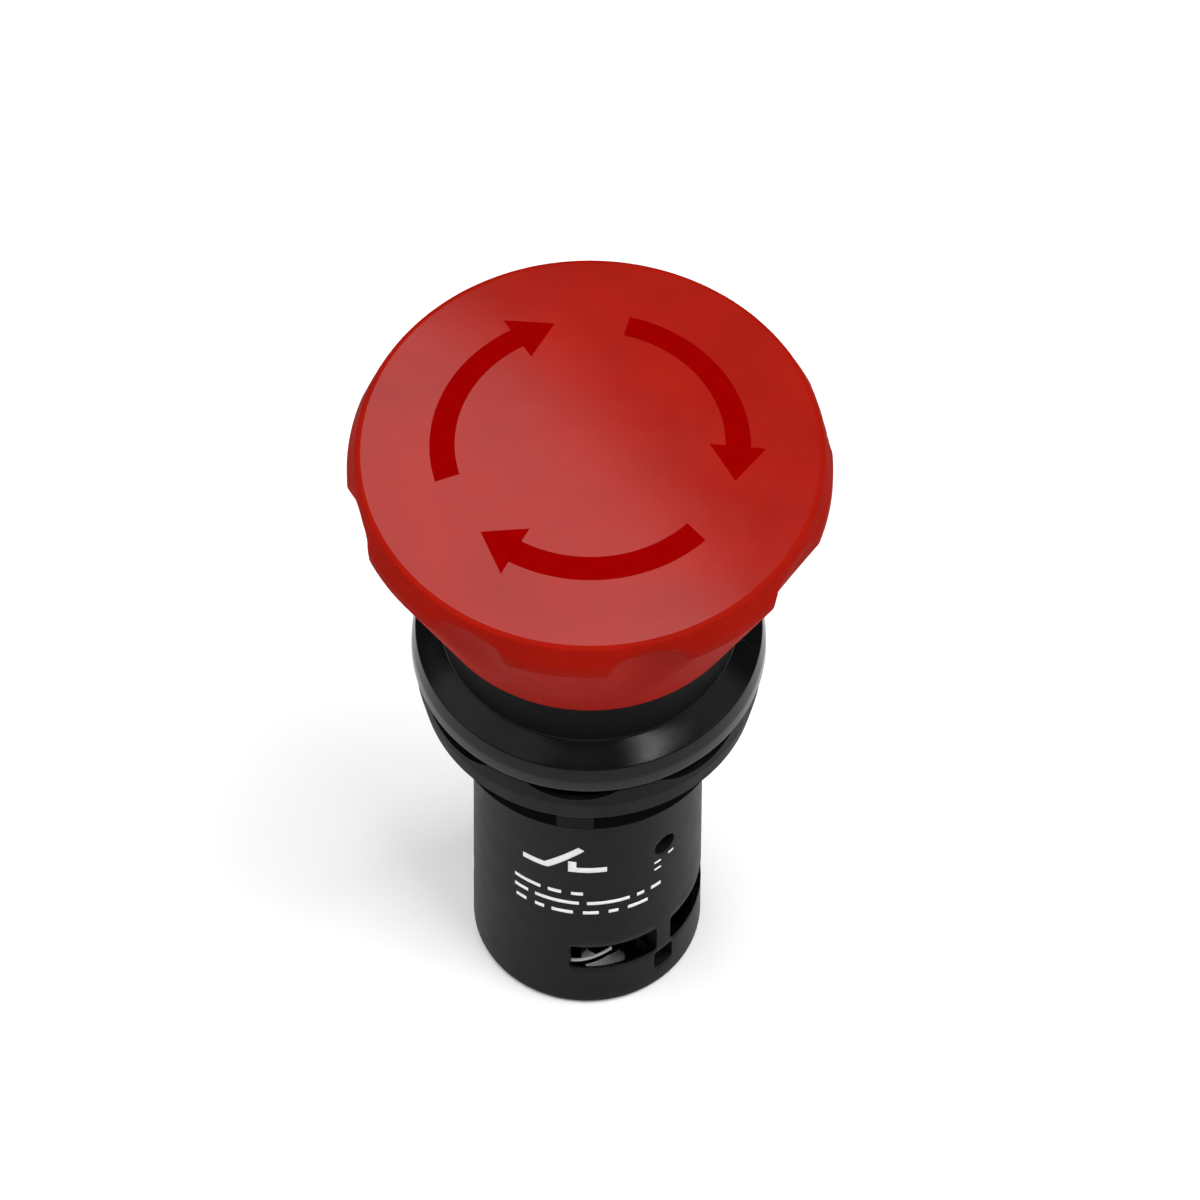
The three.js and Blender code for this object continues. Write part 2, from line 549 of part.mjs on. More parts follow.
const body = new THREE.Group();
body.rotation.z = radians(BODY_AZIMUTH);
body.add(
  named('rear_housing', rearHousing(), BLACK),
  named('rear_cover', rearCover(), BLACK),
  named('latch_spring', latchSpring(), SPRING_STEEL),
  named('guide_plate', guidePlate(), GREY),
  named('return_spring', returnSpring(), SPRING_STEEL),
  named('contact_carrier', contactCarrier(), IVORY),
);
[1, -1].forEach((side, k) => {
  body.add(named(`contact_bridge_${k + 1}`, contactBridge(side), BRASS));
  body.add(named(`contact_spring_${k + 1}`, contactSpring(side), SPRING_STEEL));
});
TERMINALS.forEach((place, k) => {
  body.add(
    named(`moving_tip_${k + 1}`, contactTip(place, MOVING_TIP_Z), SILVER),
    named(`fixed_tip_${k + 1}`, contactTip(place, FIXED_TIP_Z), SILVER),
    named(`terminal_strip_${k + 1}`, terminalStrip(place), BRASS),
    named(`terminal_clamp_${k + 1}`, terminalClamp(place), STEEL),
    named(`terminal_screw_${k + 1}`, terminalScrew(place), STEEL),
  );
});
emergencyStop.add(body);

export default emergencyStop;
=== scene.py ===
import math

import bmesh
import bpy
import numpy as np
from mathutils import Matrix, Vector


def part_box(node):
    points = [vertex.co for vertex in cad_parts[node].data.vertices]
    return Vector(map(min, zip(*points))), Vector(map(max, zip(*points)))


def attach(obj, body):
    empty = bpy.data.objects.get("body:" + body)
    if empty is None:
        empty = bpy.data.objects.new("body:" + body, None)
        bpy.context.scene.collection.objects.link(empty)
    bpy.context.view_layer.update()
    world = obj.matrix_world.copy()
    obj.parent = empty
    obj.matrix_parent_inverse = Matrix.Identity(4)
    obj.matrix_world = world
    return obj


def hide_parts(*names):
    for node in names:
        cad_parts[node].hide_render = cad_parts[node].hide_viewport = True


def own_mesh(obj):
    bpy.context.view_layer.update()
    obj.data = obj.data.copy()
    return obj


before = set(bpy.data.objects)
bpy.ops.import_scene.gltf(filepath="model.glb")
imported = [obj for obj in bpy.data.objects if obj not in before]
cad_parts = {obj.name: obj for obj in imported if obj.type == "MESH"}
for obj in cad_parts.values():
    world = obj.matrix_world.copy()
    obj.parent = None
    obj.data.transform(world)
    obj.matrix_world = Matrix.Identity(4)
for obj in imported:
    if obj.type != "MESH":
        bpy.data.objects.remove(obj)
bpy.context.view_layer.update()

# Compact twist-release emergency stop. Shapes below are in millimetres, in the frame of the CAD model,
# and become metres when a mesh is made.
MM = 0.001
TAU = 2 * math.pi


def box_mm(node):
    """Lowest and highest corner of a CAD node, in millimetres."""
    low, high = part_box(node)
    return low / MM, high / MM


# ---------------------------------------------------------------- sizes taken from the frame
HEAD_LOW, HEAD_HIGH = box_mm("mushroom_head")
BARREL_LOW, BARREL_HIGH = box_mm("barrel")
NUT_LOW, NUT_HIGH = box_mm("lock_nut")
BODY_LOW, _ = box_mm("rear_housing")

HEAD_RADIUS = 20.0
CROWN_Z = HEAD_HIGH.z
CROWN_RISE = 4.15  # top of the crown above the rim
CROWN_RADIUS = 85.0  # sphere that the crown is part of
RIM_Z = CROWN_Z - CROWN_RISE
RIM_LOW_Z = RIM_Z - 1.1
SKIRT_Z = HEAD_LOW.z
NECK_TOP_Z = BARREL_HIGH.z
NECK_RADIUS = 12.4
NECK_BASE_Z = 45.15
BEZEL_RADIUS = 14.77
BEZEL_Z = 41.0
BORE_RADIUS = 8.3  # inside of the barrel and of the body
THREAD_PITCH = 2.0
THREAD_ROOT = 9.55
THREAD_CREST = 10.3
THREAD_END_Z = BARREL_LOW.z
NUT_TOP_Z = NUT_HIGH.z
NUT_COLLAR_Z = NUT_LOW.z
BODY_RADIUS = 9.6
BODY_FOOT_Z = BODY_LOW.z
BODY_TURN = math.radians(-47.5)  # from +X to the plane between a pair of wire windows


# ---------------------------------------------------------------- mesh making
def outline(corners, step=None, round_points=6, closed=True):
    """Points through (radius, height, fillet) corners, with each corner rounded by its fillet."""
    count = len(corners)
    points = []
    for i, (radius, height, fillet) in enumerate(corners):
        here = Vector((radius, height))
        at_end = not closed and i in (0, count - 1)
        if at_end or not fillet:
            points.append(here)
            continue
        back = Vector(corners[i - 1][:2]) - here
        on = Vector(corners[(i + 1) % count][:2]) - here
        half = back.angle(on) / 2
        cut = min(fillet / math.tan(half), 0.8 * back.length, 0.8 * on.length)
        start = here + back.normalized() * cut
        end = here + on.normalized() * cut
        for k in range(round_points + 1):
            t = k / round_points
            points.append(start * (1 - t) ** 2 + here * 2 * t * (1 - t) + end * t**2)
    if step:
        points = subdivided(points, step, closed)
    return points


def subdivided(points, step, closed):
    """The same outline with no two neighbours further apart than step."""
    filled = []
    last = len(points) if closed else len(points) - 1
    for i in range(last):
        a, b = points[i], points[(i + 1) % len(points)]
        pieces = max(1, math.ceil((b - a).length / step))
        filled += [a.lerp(b, k / pieces) for k in range(pieces)]
    if not closed:
        filled.append(points[-1])
    return filled


def new_object(name, vertices, faces):
    """A mesh object from points in millimetres, with doubled points merged and faces pointing out."""
    mesh = bpy.data.meshes.new(name)
    mesh.from_pydata([tuple(Vector(v) * MM) for v in vertices], [], faces)
    work = bmesh.new()
    work.from_mesh(mesh)
    bmesh.ops.remove_doubles(work, verts=work.verts, dist=2e-7)
    bmesh.ops.dissolve_degenerate(work, edges=work.edges, dist=1e-7)
    bmesh.ops.recalc_face_normals(work, faces=work.faces)
    for face in work.faces:
        face.smooth = True
    work.to_mesh(mesh)
    work.free()
    made = bpy.data.objects.new(name, mesh)
    bpy.context.scene.collection.objects.link(made)
    return made


def revolved(name, points, segments=256, pull=None, closed=True):
    """Revolves an outline about Z. pull(radius, angle, height) may move each point to a new radius."""
    profile = np.array([tuple(p) for p in points])
    angles = np.arange(segments) / segments * TAU
    radius = np.repeat(profile[:, :1], segments, axis=1)
    height = np.repeat(profile[:, 1:], segments, axis=1)
    angle = np.repeat(angles[None, :], len(profile), axis=0)
    if pull:
        radius = pull(radius, angle, height)
    grid = np.stack([radius * np.cos(angle), radius * np.sin(angle), height], axis=-1)
    rows = len(profile)
    faces = []
    for i in range(rows if closed else rows - 1):
        below = (i + 1) % rows
        for j in range(segments):
            side = (j + 1) % segments
            ends = (i * segments, below * segments)
            faces.append([ends[0] + j, ends[0] + side, ends[1] + side, ends[1] + j])
    return new_object(name, grid.reshape(-1, 3), faces)


def smooth_min(a, b, blend):
    """The lesser of two arrays, with the crease between them rounded over that width."""
    share = np.clip(0.5 + 0.5 * (b - a) / blend, 0, 1)
    return b * (1 - share) + a * share - blend * share * (1 - share)


def nearest_turn(angle, first, count):
    """Angle from the nearest of count evenly spaced places, the first of them at first."""
    pitch = TAU / count
    return (angle - first + pitch / 2) % pitch - pitch / 2


def swept(name, section, centres, frames):
    """Sweeps a closed 2-D section along points, each with its own (across, up) directions."""
    count, size = len(centres), len(section)
    vertices = []
    for centre, (across, up) in zip(centres, frames):
        vertices += [centre + across * u + up * v for u, v in section]
    faces = []
    for i in range(count - 1):
        for k in range(size):
            side = (k + 1) % size
            faces.append([i * size + k, i * size + side, (i + 1) * size + side, (i + 1) * size + k])
    faces.append(list(range(size)))
    faces.append([(count - 1) * size + k for k in reversed(range(size))])
    return new_object(name, vertices, faces)


def joined(name, parts):
    """Joins objects into one mesh object."""
    work = bmesh.new()
    for part in parts:
        work.from_mesh(part.data)
    mesh = bpy.data.meshes.new(name)
    work.to_mesh(mesh)
    work.free()
    for part in parts:
        bpy.data.objects.remove(part)
    made = bpy.data.objects.new(name, mesh)
    bpy.context.scene.collection.objects.link(made)
    return made


def cut_from(piece, cutter):
    """Takes the cutter's volume out of the piece and removes the cutter."""
    modifier = piece.modifiers.new("cut", "BOOLEAN")
    modifier.operation = "DIFFERENCE"
    modifier.solver = "EXACT"
    modifier.object = cutter
    ready = bpy.context.evaluated_depsgraph_get()
    mesh = bpy.data.meshes.new_from_object(piece.evaluated_get(ready))
    piece.modifiers.clear()
    piece.data = mesh
    bpy.data.objects.remove(cutter)
    return piece


def soften(piece, width=0.12, segments=2, angle=32):
    """Rounds hard edges by a bevel in millimetres, or only marks them sharp where width is 0."""
    for face in piece.data.polygons:
        face.use_smooth = True
    if width:
        bevel = piece.modifiers.new("soft edges", "BEVEL")
        bevel.width = width * MM
        bevel.segments = segments
        bevel.limit_method = "ANGLE"
        bevel.angle_limit = math.radians(angle)
    else:
        piece.data.set_sharp_from_angle(angle=math.radians(angle))
    weighted = piece.modifiers.new("shading", "WEIGHTED_NORMAL")
    weighted.keep_sharp = True
    return piece


def sector_prism(name, inner, outer, start, end, low, high, corner=0.35, sink=0.0):
    """A block bent round Z between two angles, its four corners rounded as seen from outside. Its lower face
    slopes down inwards by sink for each millimetre from the body's outside."""
    middle = (inner + outer) / 2
    length = (end - start) * middle
    rounding = [corner * (1 - math.cos(k * TAU / 24)) for k in range(6)]
    straight = np.linspace(corner, length - corner, 2 + int((length - 2 * corner) / 0.35))
    stations = rounding + list(straight) + [length - r for r in reversed(rounding)]
    vertices = []
    for station in stations:
        edge = min(station, length - station)
        inset = corner - math.sqrt(corner**2 - max(0, corner - edge) ** 2)
        angle = start + station / middle
        out = Vector((math.cos(angle), math.sin(angle), 0))
        for radius, at_top in ((inner, False), (outer, False), (outer, True), (inner, True)):
            height = high - inset if at_top else low + inset - sink * (BODY_RADIUS - radius)
            vertices.append(out * radius + Vector((0, 0, height)))
    faces = [(3, 2, 1, 0), [4 * (len(stations) - 1) + k for k in range(4)]]
    for i in range(len(stations) - 1):
        for k in range(4):
            side = (k + 1) % 4
            faces.append([4 * i + k, 4 * i + side, 4 * i + 4 + side, 4 * i + 4 + k])
    return new_object(name, vertices, faces)


def ring_points(radius, segments):
    """Points round a circle, as a section for swept."""
    turns = [k * TAU / segments for k in range(segments)]
    return [(radius * math.cos(turn), radius * math.sin(turn)) for turn in turns]


def round_pin(name, radius, inner, outer, azimuth, height, segments=48):
    """A cylinder that lies along a radius of the body."""
    across = Vector((-math.sin(azimuth), math.cos(azimuth), 0))
    along = Vector((math.cos(azimuth), math.sin(azimuth), 0))
    centres = [along * reach + Vector((0, 0, height)) for reach in (inner, outer)]
    return swept(name, ring_points(radius, segments), centres, [(across, Vector((0, 0, 1)))] * 2)


def helix_ridge(name, section, low, turns, window):
    """A right-hand ridge wound about Z. section holds (root radius, crest radius, height) and window(angle)
    scales the crest down to the root, so that the ridge can fade out."""
    steps = 96
    count = int(turns * steps)
    vertices = []
    for i in range(count + 1):
        angle = i / steps * TAU
        fade = min(1.0, i / (steps * 0.15), (count - i) / (steps * 0.15)) * window(angle)
        for root, crest, height in section:
            radius = root + (crest - root) * fade
            z = low + height + THREAD_PITCH * i / steps
            vertices.append((radius * math.cos(angle), radius * math.sin(angle), z))
    size = len(section)
    faces = []
    for i in range(count):
        for k in range(size):
            side = (k + 1) % size
            faces.append([i * size + k, i * size + side, (i + 1) * size + side, (i + 1) * size + k])
    faces.append(list(range(size)))
    faces.append([count * size + k for k in reversed(range(size))])
    return new_object(name, vertices, faces)


# ---------------------------------------------------------------- materials
EDGE_POINTINESS = (0.535, 0.62)  # from barely convex to a full outer edge


class Recipe:
    """A node material in the making: a Principled shader, object coordinates and helpers to link them."""

    def __init__(self, name, roughness, metallic=0.0, specular=0.5):
        self.material = bpy.data.materials.new(name)
        self.material.use_nodes = True
        self.tree = self.material.node_tree
        self.shader = self.tree.nodes["Principled BSDF"]
        self.shader.inputs["Metallic"].default_value = metallic
        self.shader.inputs["Roughness"].default_value = roughness
        self.shader.inputs["Specular IOR Level"].default_value = specular
        self.place = self.node("ShaderNodeTexCoord").outputs["Object"]
        self.last_bump = None

    def node(self, kind, **settings):
        made = self.tree.nodes.new(kind)
        for key, value in settings.items():
            setattr(made, key, value)
        return made

    def link(self, source, target):
        self.tree.links.new(source, target)

    def noise(self, size_mm, detail=3.0, stretch=(1, 1, 1)):
        """Noise whose features are about size_mm across, stretched along an axis by its factor."""
        mapping = self.node("ShaderNodeMapping")
        mapping.inputs["Scale"].default_value = [1 / s for s in stretch]
        noise = self.node("ShaderNodeTexNoise")
        noise.inputs["Scale"].default_value = 1 / (size_mm * MM)
        noise.inputs["Detail"].default_value = detail
        self.link(self.place, mapping.inputs["Vector"])
        self.link(mapping.outputs["Vector"], noise.inputs["Vector"])
        return noise.outputs["Fac"]

    def remap(self, value, low, high, from_low=0.3, from_high=0.7):
        ramp = self.node("ShaderNodeMapRange")
        ramp.inputs["From Min"].default_value = from_low
        ramp.inputs["From Max"].default_value = from_high
        ramp.inputs["To Min"].default_value = low
        ramp.inputs["To Max"].default_value = high
        self.link(value, ramp.inputs["Value"])
        return ramp.outputs["Result"]

    def blend(self, share, first, second):
        """Mixes two colours, or a colour output, by a share from 0 to 1."""
        mix = self.node("ShaderNodeMix", data_type="RGBA")
        for socket, colour in ((mix.inputs["A"], first), (mix.inputs["B"], second)):
            if isinstance(colour, tuple):
                socket.default_value = (*colour, 1)
            else:
                self.link(colour, socket)
        self.link(share, mix.inputs["Factor"])
        return mix.outputs["Result"]

    def edges(self):
        """How much of an outer edge a point is, from 0 to 1."""
        pointiness = self.node("ShaderNodeNewGeometry").outputs["Pointiness"]
        return self.remap(pointiness, 0, 1, *EDGE_POINTINESS)

    def bump(self, height, depth_mm):
        bump = self.node("ShaderNodeBump")
        bump.inputs["Strength"].default_value = 1.0
        bump.inputs["Distance"].default_value = depth_mm * MM
        self.link(height, bump.inputs["Height"])
        if self.last_bump:
            self.link(self.last_bump, bump.inputs["Normal"])
        self.last_bump = bump.outputs["Normal"]

    def finish(self, colour=None, roughness=None):
        if colour is not None:
            self.link(colour, self.shader.inputs["Base Color"])
        if roughness is not None:
            self.link(roughness, self.shader.inputs["Roughness"])
        if self.last_bump:
            self.link(self.last_bump, self.shader.inputs["Normal"])
        return self.material


def scaled(colour, factor):
    return tuple(min(1.0, c * factor) for c in colour)


def moulded(name, colour, roughness, worn, gloss=0.5, grain_mm=0.16, grain_depth=0.006):
    """Moulded plastic: spark-eroded grain, faint flow marks, uneven gloss and paler rubbed edges."""
    recipe = Recipe(name, roughness, specular=gloss)
    flow = recipe.noise(9, detail=4, stretch=(1, 1, 2.2))
    base = recipe.blend(recipe.remap(flow, 0, 1), scaled(colour, 0.9), scaled(colour, 1.12))
    rub = recipe.node("ShaderNodeMath", operation="MULTIPLY")
    recipe.link(recipe.edges(), rub.inputs[0])
    recipe.link(recipe.remap(recipe.noise(1.6, detail=5), 0.0, 0.35), rub.inputs[1])
    base = recipe.blend(rub.outputs["Value"], base, worn)
    shine = recipe.remap(recipe.noise(2.5, detail=2), roughness - 0.04, roughness + 0.05, 0.15, 0.85)
    recipe.bump(recipe.noise(grain_mm, detail=2), grain_depth)
    recipe.bump(recipe.noise(5, detail=1), 0.008)
    return recipe.finish(base, shine)


def metal(name, colour, roughness, lay=(1, 1, 12)):
    """Plated or drawn metal: fine lay marks in one direction, cloudy tone and uneven roughness."""
    recipe = Recipe(name, roughness, metallic=1.0)
    cloud = recipe.noise(1.8, detail=5)
    base = recipe.blend(recipe.remap(cloud, 0, 1), scaled(colour, 0.8), scaled(colour, 1.06))
    scratches = recipe.noise(0.12, detail=3, stretch=lay)
    recipe.bump(scratches, 0.004)
    return recipe.finish(base, recipe.remap(scratches, roughness - 0.08, roughness + 0.12))


def rubber(name, colour):
    """Soft black rubber with a dusty, fine-grained skin."""
    recipe = Recipe(name, 0.8, specular=0.3)
    dust = recipe.remap(recipe.noise(1.2, detail=6), 0, 0.5, 0.45, 0.75)
    base = recipe.blend(dust, colour, scaled(colour, 2.2))
    recipe.bump(recipe.noise(0.1, detail=3), 0.012)
    return recipe.finish(base, recipe.remap(recipe.noise(0.6), 0.72, 0.9))


def printed(name, colour, roughness, gloss):
    """Pad-printed or filled-in colour: even, with slight pinholes of gloss and tone."""
    recipe = Recipe(name, roughness, specular=gloss)
    tone = recipe.remap(recipe.noise(0.9, detail=5), 0, 1)
    recipe.bump(recipe.noise(0.2, detail=2), 0.003)
    base = recipe.blend(tone, scaled(colour, 0.93), scaled(colour, 1.05))
    return recipe.finish(base, recipe.remap(recipe.noise(0.5), roughness - 0.05, roughness + 0.08))


WORN_RED = (0.36, 0.015, 0.008)
RED = moulded("red_satin", (0.275, 0.0072, 0.003), 0.24, WORN_RED, 0.4, grain_mm=0.3, grain_depth=0.0012)
RED_SKIRT = moulded("red_matt", (0.27, 0.006, 0.002), 0.65, (0.32, 0.012, 0.006), 0.018)
ARROW_RED = printed("arrow_dark_red", (0.215, 0.0003, 0.0002), 0.6, 0.0)
WORN_BLACK = (0.015, 0.015, 0.016)
BLACK = moulded("black_satin", (0.0028, 0.003, 0.0031), 0.2, WORN_BLACK, 0.12)
BLACK_FINE = moulded("black_fine_grain", (0.004, 0.0042, 0.0043), 0.42, WORN_BLACK, 0.05)
BLACK_MATT = moulded("black_matt", (0.004, 0.0042, 0.0043), 0.5, WORN_BLACK, 0.027)
# Darker, unglossed black used only on the collar wall under the nut's skirt: painted shade for the shadow
# under the overhang.
BLACK_PAINTED_SHADE = moulded("black_painted_shade", (0.0035, 0.0037, 0.0038), 0.85, WORN_BLACK, 0.0)
GREY = moulded("grey_moulded", (0.09, 0.095, 0.1), 0.5, (0.2, 0.2, 0.2))
IVORY = moulded("ivory_moulded", (0.68, 0.62, 0.48), 0.5, (0.8, 0.78, 0.7))
RUBBER = rubber("black_rubber", (0.012, 0.012, 0.0125))
WHITE_PRINT = printed("white_print", (0.82, 0.82, 0.80), 0.5, 0.4)
ZINC = metal("zinc_plate", (0.86, 0.87, 0.88), 0.36)
DARK_STEEL = metal("passivated_steel", (0.012, 0.012, 0.013), 0.62)
# Near-white, non-metal colour for the top of the clamp wing: a painted highlight for the bright reflection
# along its edge.
PAINTED_HIGHLIGHT_EDGE = printed("painted_highlight_edge", (0.93, 0.93, 0.93), 0.3, 0.6)
WIRE = metal("spring_wire", (0.52, 0.53, 0.55), 0.26, lay=(1, 1, 5))
BRASS = metal("stamped_brass", (0.80, 0.60, 0.28), 0.3, lay=(8, 1, 1))
SILVER = metal("contact_silver", (0.88, 0.87, 0.85), 0.22, lay=(1, 1, 1))


def place(piece, material, body, slot, *nodes):
    """Gives a piece its material, the body it rides on and any nodes it replaces. The slot argument is not
    used.
    """
    piece.data.materials.clear()
    piece.data.materials.append(material)
    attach(piece, body)
    if nodes:
        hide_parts(*nodes)
    return piece


# ---------------------------------------------------------------- mushroom head
CROWN_EDGE = 18.7  # radius where the crown gives way to the rounded rim
SKIRT_RADIUS = 13.85
SKIRT_BORE = 12.75
BOSS_RADIUS = 6.2
BOSS_Z = 55.5
SOCKET_RADIUS = 4.15
SOCKET_TOP_Z = 64.6
SCREW_HOLE_RADIUS = 1.5
SCALLOPS = 8
SCALLOP_FIRST = math.radians(14.8)
SCALLOP_RADIUS = 5.7
SCALLOP_DEPTH = 1.0
SCALLOP_LEAN = math.radians(14)
SCALLOP_TOP = RIM_Z + 0.1
ARROW_BAND = (11.12, 13.2)
ARROW_BARBS = (9.8, 14.45)
ARROW_TIP = (12.4, math.radians(-16))
ARROW_TAIL = math.radians(76)
ARROWS = 3
FAR_OUT = 99.0


def crown_height(radius):
    """Height of the crown's sphere over a radius."""
    return CROWN_Z - CROWN_RADIUS + np.sqrt(CROWN_RADIUS**2 - np.square(radius))


def scallop_limit(angle, height):
    """Radius of the finger scallops' leaning cylinders at each angle and height."""
    off = nearest_turn(angle, SCALLOP_FIRST, SCALLOPS)
    stretch = 1 / math.cos(SCALLOP_LEAN) ** 2
    axis = HEAD_RADIUS - SCALLOP_DEPTH + SCALLOP_RADIUS + (height - RIM_Z) * math.tan(SCALLOP_LEAN)
    axis = axis + np.maximum(height - SCALLOP_TOP, 0) ** 2
    a = np.cos(off) ** 2 / stretch + np.sin(off) ** 2
    b = axis * np.cos(off) / stretch
    c = axis**2 / stretch - SCALLOP_RADIUS**2
    inside = b * b - a * c
    return np.where(inside > 0, (b - np.sqrt(np.maximum(inside, 0))) / a, FAR_OUT)


def make_head():
    """Satin crown, and a matt skirt that is scalloped outside and hollow round the boss for the stem."""
    crown = [Vector((r, crown_height(r))) for r in np.linspace(0, CROWN_EDGE, 30)]
    shoulder = HEAD_RADIUS - 0.7
    corners = [
        (CROWN_EDGE, crown_height(CROWN_EDGE), 0),
        (shoulder, crown_height(shoulder), 0.45),
        (HEAD_RADIUS, RIM_Z, 0.6),
        (HEAD_RADIUS, RIM_LOW_Z, 0.5),
        (SKIRT_RADIUS, SKIRT_Z, 0.25),
        (SKIRT_BORE, SKIRT_Z, 0.2),
        (SKIRT_BORE, 58.4, 0.4),
        (14.2, 62.4, 0.6),
        (14.2, 66.4, 0.8),
        (BOSS_RADIUS, 67.0, 0.4),
        (BOSS_RADIUS, BOSS_Z, 0.3),
        (SOCKET_RADIUS, BOSS_Z, 0.2),
        (SOCKET_RADIUS, SOCKET_TOP_Z, 0),
        (SCREW_HOLE_RADIUS, SOCKET_TOP_Z, 0),
        (SCREW_HOLE_RADIUS, 68.4, 0),
        (0, 68.6, 0),
    ]
    side = outline(corners, step=0.3, round_points=8, closed=False)

    def pull(radius, angle, height):
        scalloped = smooth_min(radius, scallop_limit(angle, height), 0.5)
        return np.where(radius > SKIRT_BORE + 0.15, scalloped, radius)

    head = revolved("mushroom_head_shell", crown[:-1] + side, segments=480, pull=pull, closed=False)
    place(head, RED, "head", "red_plastic", "mushroom_head")
    head.data.materials.append(RED_SKIRT)
    satin_low = (crown_height(CROWN_EDGE) - 0.03) * MM
    for face in head.data.polygons:
        face.material_index = int(face.center.z < satin_low)


def crown_patch(name, grid):
    """A thin closed skin let into the crown over a grid of (x, y) points."""
    rows, columns = len(grid), len(grid[0])
    flat = [point for row in grid for point in row]
    top = [(x, y, float(crown_height(math.hypot(x, y))) + 0.012) for x, y in flat]
    below = [(x, y, z - 0.2) for x, y, z in top]
    half = len(top)
    faces = []
    for i in range(rows - 1):
        for j in range(columns - 1):
            here = i * columns + j
            quad = [here, here + 1, here + columns + 1, here + columns]
            faces.append(quad)
            faces.append([half + k for k in reversed(quad)])
    rim = list(range(columns)) + [i * columns + columns - 1 for i in range(1, rows)]
    rim += [(rows - 1) * columns + j for j in reversed(range(columns - 1))]
    rim += [i * columns for i in reversed(range(1, rows - 1))]
    for k, corner in enumerate(rim):
        on = rim[(k + 1) % len(rim)]
        faces.append([on, corner, half + corner, half + on])
    return new_object(name, top + below, faces)


def make_arrow(number, azimuth):
    """One of the release arrows: a curved band, and a point that is wider than the band."""

    def at(radius, angle):
        return (radius * math.cos(azimuth + angle), radius * math.sin(azimuth + angle))

    band = [[at(r, a) for r in np.linspace(*ARROW_BAND, 6)] for a in np.linspace(-0.004, ARROW_TAIL, 70)]
    inner, outer = (Vector(at(radius, 0)) for radius in ARROW_BARBS)
    tip = Vector(at(*ARROW_TIP))
    base = [inner.lerp(outer, t) for t in np.linspace(0, 1, 13)]
    point = [[tuple(corner.lerp(tip, t)) for corner in base] for t in np.linspace(0, 0.995, 12)]
    arrow = joined(f"arrow_fill_{number}", [crown_patch("band", band), crown_patch("point", point)])
    for face in arrow.data.polygons:
        face.use_smooth = False
    place(arrow, ARROW_RED, "head", "red_plastic")


# ---------------------------------------------------------------- barrel, gasket, washer and nut
KEY_HALF_WIDTH = 1.2
KEYS = 2
RIDGE_RUN_OUT = 0.7  # stretch beside a key groove in which the thread's ridge may fade
THREAD_ROOT_HALF = 0.55  # half the width of a thread ridge at its root
TONGUE_HALF_WIDTH = 1.0
TONGUE_LENGTH = 1.45
SPIGOT_RADIUS = 11.0
SPIGOT_Z = 40.1
GASKET_RADIUS = 13.9
GASKET_CEILING = 41.9
CUP_RADIUS = 10.9
WEB_Z = (46.0, 47.5)
STEM_HOLE_RADIUS = 4.3


def key_window(angle):
    """0 inside the barrel's two key grooves and beside them, where the ridge runs out, and 1 elsewhere."""
    off = abs(nearest_turn(angle, BODY_TURN, KEYS))
    return 1.0 if off * THREAD_CREST > KEY_HALF_WIDTH + RIDGE_RUN_OUT else 0.0


def thread_section(root, crest, crest_half):
    """Trapezoid thread section as (root radius, crest radius, height) for helix_ridge."""
    sunk = root + math.copysign(0.25, root - crest)
    return [
        (sunk, sunk, -THREAD_ROOT_HALF),
        (sunk, sunk, THREAD_ROOT_HALF),
        (root, root, THREAD_ROOT_HALF),
        (root, crest, crest_half),
        (root, crest, -crest_half),
        (root, root, -THREAD_ROOT_HALF),
    ]


def make_barrel():
    corners = [
        (BORE_RADIUS, THREAD_END_Z, 0.15),
        (THREAD_ROOT, THREAD_END_Z, 0.2),
        (THREAD_ROOT, SPIGOT_Z, 0.1),
        (SPIGOT_RADIUS, SPIGOT_Z, 0.2),
        (SPIGOT_RADIUS, GASKET_CEILING, 0.1),
        (GASKET_RADIUS, GASKET_CEILING, 0.1),
        (GASKET_RADIUS, BEZEL_Z, 0.1),
        (BEZEL_RADIUS, BEZEL_Z, 0.14),
        (14.72, 42.3, 2.0),
        (14.44, 43.7, 0.22),
        (NECK_RADIUS, NECK_BASE_Z, 0.25),
        (NECK_RADIUS, NECK_TOP_Z, 0.4),
        (CUP_RADIUS, NECK_TOP_Z, 0.3),
        (CUP_RADIUS, WEB_Z[1], 0.3),
        (STEM_HOLE_RADIUS, WEB_Z[1], 0.2),
        (STEM_HOLE_RADIUS, WEB_Z[0], 0.2),
        (BORE_RADIUS, WEB_Z[0], 0.4),
    ]

    def pull(radius, angle, height):
        in_key = np.abs(nearest_turn(angle, BODY_TURN, KEYS)) * SPIGOT_RADIUS < KEY_HALF_WIDTH
        on_spigot = (THREAD_ROOT < radius) & (radius < SPIGOT_RADIUS + 0.05)
        below_bezel = height < GASKET_CEILING + 0.05
        return np.where(in_key & on_spigot & below_bezel, THREAD_ROOT, radius)

    barrel = revolved("barrel_shell", outline(corners, step=1.0), segments=360, pull=pull)
    soften(barrel, width=0)
    place(barrel, BLACK, "body", "black_plastic", "barrel")
    barrel.data.materials.append(BLACK_MATT)
    for face in barrel.data.polygons:
        face.material_index = int(face.center.z > (NECK_BASE_Z + 0.3) * MM)
    section = thread_section(THREAD_ROOT, THREAD_CREST, 0.22)
    first_turn = 0.3 * TAU

    def window(angle):
        return key_window(angle + first_turn)

    thread = helix_ridge("barrel_thread", section, THREAD_END_Z + 0.6, 3.9, window)
    thread.data.transform(Matrix.Rotation(first_turn, 4, "Z"))
    soften(thread, width=0.06)
    place(thread, BLACK, "body", "black_plastic")


def make_gasket():
    low, high = box_mm("panel_gasket")
    inner, outer = SPIGOT_RADIUS + 0.15, GASKET_RADIUS - 0.15
    corners = [(inner, low.z, 0.15), (outer, low.z, 0.25), (outer, high.z, 0.15), (inner, high.z, 0.15)]
    gasket = soften(revolved("panel_gasket_ring", outline(corners), segments=180), width=0)
    place(gasket, RUBBER, "body", "rubber", "panel_gasket")


